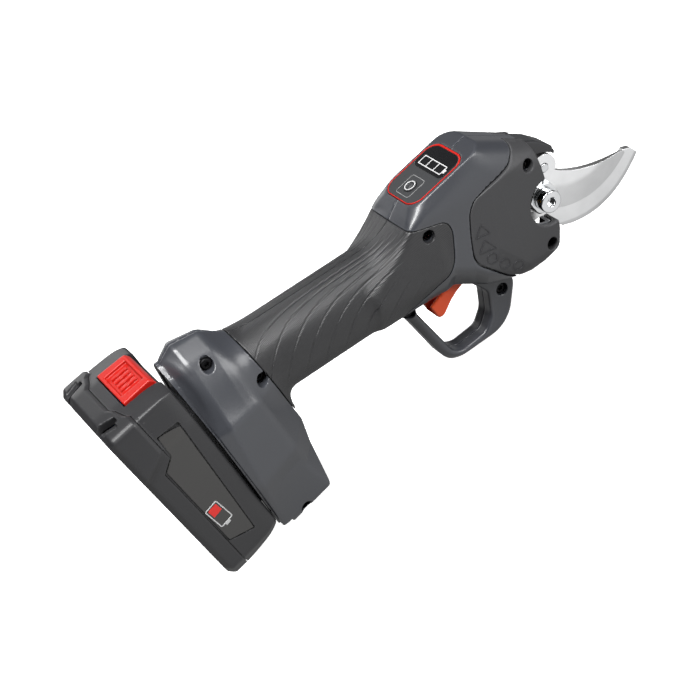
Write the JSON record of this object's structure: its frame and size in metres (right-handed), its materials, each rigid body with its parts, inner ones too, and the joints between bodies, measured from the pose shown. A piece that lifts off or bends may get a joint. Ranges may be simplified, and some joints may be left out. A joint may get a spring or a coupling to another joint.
{
  "type": "battery pruner",
  "caption": "Battery electric secateurs: leaning grip over a slide-on battery, guarded trigger, tilted display and a motor-driven bypass blade.",
  "frame": {"origin": "centre of the battery's flat underside", "axes": "+X from the battery's underside towards the blades, +Z to the display side, +Y to the tool's left; the trigger is on the -Z side"},
  "size_m": [0.3282, 0.0762, 0.1459],
  "materials": {
    "gloss_shell": "gloss",
    "soft_grip": "matt, fine grooves",
    "gear_cover": "fine texture",
    "black_nylon": "matt",
    "red_plastic": "satin",
    "orange_plastic": "satin",
    "dark_panel": "satin",
    "circuit_board": "satin",
    "gear_steel": "satin",
    "black_steel": "black oxide",
    "chrome": "polished",
    "brass": "machined",
    "blade_steel": "fine ground",
    "battery_case": "fine texture",
    "cell_wrap": "shrink wrap",
    "red_wire": "satin",
    "black_wire": "satin"
  },
  "bodies": {
    "handle": {"right_housing": "gloss_shell", "left_housing": "gloss_shell", "right_grip_panel": "soft_grip", "left_grip_panel": "soft_grip", "right_gear_cover": "gear_cover", "left_gear_cover": "gear_cover", "nose_cap": "black_nylon", "trigger_switch": "black_nylon", "terminal_block": "black_nylon", "display_trim_ring": "red_plastic", "display_lens": "dark_panel", "display_board": "circuit_board", "main_board": "circuit_board", "trigger_pin": "gear_steel", "ring_gear": "gear_steel", "motor_case": "black_steel", "screw_body": "black_steel", "screw_guard_front": "black_steel", "screw_guard_rear": "black_steel", "screw_cover_upper": "black_steel", "screw_cover_lower": "black_steel", "screw_foot_rear": "black_steel", "screw_foot_middle": "black_steel", "screw_foot_front": "black_steel", "screw_bearing": "chrome", "pivot_washer": "chrome", "pivot_nut": "chrome", "pivot_bolt": "chrome", "pivot_lock_nut": "chrome", "counter_blade": "blade_steel", "battery_wire_positive": "red_wire", "battery_wire_negative": "black_wire", "motor_lead_1": "black_wire", "motor_lead_2": "black_wire", "motor_lead_3": "black_wire"},
    "rotor": {"motor_rotor": "gear_steel"},
    "screw": {"planet_carrier": "gear_steel", "drive_screw": "gear_steel"},
    "planet_1": {"planet_gear_1": "gear_steel"},
    "planet_2": {"planet_gear_2": "gear_steel"},
    "planet_3": {"planet_gear_3": "gear_steel"},
    "nut": {"screw_nut": "brass", "link_pin": "chrome"},
    "link": {"drive_link": "gear_steel"},
    "blade": {"cutting_blade": "blade_steel", "blade_pin": "chrome"},
    "trigger": {"trigger": "orange_plastic"},
    "power_button": {"power_button": "dark_panel"},
    "battery": {"battery_upper_case": "battery_case", "battery_lower_case": "battery_case", "battery_cell_1": "cell_wrap", "battery_cell_2": "cell_wrap", "battery_cell_3": "cell_wrap", "battery_cell_4": "cell_wrap", "battery_cell_5": "cell_wrap", "battery_contact_block": "black_nylon", "release_spring": "chrome", "right_label_plate": "dark_panel", "left_label_plate": "dark_panel"},
    "release_button": {"release_button": "red_plastic"}
  },
  "joints": [
    {"name": "motor_spin", "type": "hinge", "parent": "handle", "child": "rotor", "pos_m": [0.14339, 0, 0.00121], "axis": [0.9781, 0, -0.2079], "range_deg": [0, 3855.64]},
    {"name": "screw_spin", "type": "hinge", "parent": "handle", "child": "screw", "pos_m": [0.19229, 0, -0.00918], "axis": [0.9781, 0, -0.2079], "range_deg": [0, 856.9]},
    {"name": "planet_spin_1", "type": "hinge", "parent": "screw", "child": "planet_1", "pos_m": [0.17371, 0.00675, -0.00523], "axis": [0.9781, 0, -0.2079], "range_deg": [-2401, 0]},
    {"name": "planet_spin_2", "type": "hinge", "parent": "screw", "child": "planet_2", "pos_m": [0.17492, -0.00337, 0.00049], "axis": [0.9781, 0, -0.2079], "range_deg": [-2401, 0]},
    {"name": "planet_spin_3", "type": "hinge", "parent": "screw", "child": "planet_3", "pos_m": [0.17249, -0.00337, -0.01095], "axis": [0.9781, 0, -0.2079], "range_deg": [-2401, 0]},
    {"name": "nut_slide", "type": "slide", "parent": "handle", "child": "nut", "axis": [-0.9781, 0, 0.2079], "range_m": [0, 0.00953]},
    {"name": "link_pivot", "type": "hinge", "parent": "nut", "child": "link", "pos_m": [0.2467, 0, -0.02074], "axis": [0, -1, 0], "range_deg": [0, 8.03]},
    {"name": "blade_pivot", "type": "hinge", "parent": "handle", "child": "blade", "pos_m": [0.26267, 0, -0.0316], "axis": [0, -1, 0], "range_deg": [0, 44.01]},
    {"name": "trigger_pull", "type": "hinge", "parent": "handle", "child": "trigger", "pos_m": [0.20512, 0, -0.03542], "axis": [0, 1, 0], "range_deg": [0, 14]},
    {"name": "power_press", "type": "slide", "parent": "handle", "child": "power_button", "axis": [0, 0, -1], "range_m": [0, 0.0008]},
    {"name": "battery_slide", "type": "slide", "parent": "handle", "child": "battery", "axis": [0.0732, 0, 0.9973], "range_m": [0, 0.09]},
    {"name": "release_press", "type": "slide", "parent": "battery", "child": "release_button", "axis": [0, 0, -1], "range_m": [0, 0.003], "deforming": ["release_spring"]}
  ],
  "couplings": [
    {"joint": "screw_spin", "follows": "motor_spin", "ratio": 0.22222},
    {"joint": "planet_spin_1", "follows": "motor_spin", "ratio": -0.62222},
    {"joint": "planet_spin_2", "follows": "motor_spin", "ratio": -0.62222},
    {"joint": "planet_spin_3", "follows": "motor_spin", "ratio": -0.62222},
    {"joint": "nut_slide", "follows": "motor_spin", "m_per_rad": 0.00014147},
    {"joint": "link_pivot", "follows": "motor_spin", "ratio": 0.0020813},
    {"joint": "blade_pivot", "follows": "motor_spin", "ratio": 0.011412}
  ]
}
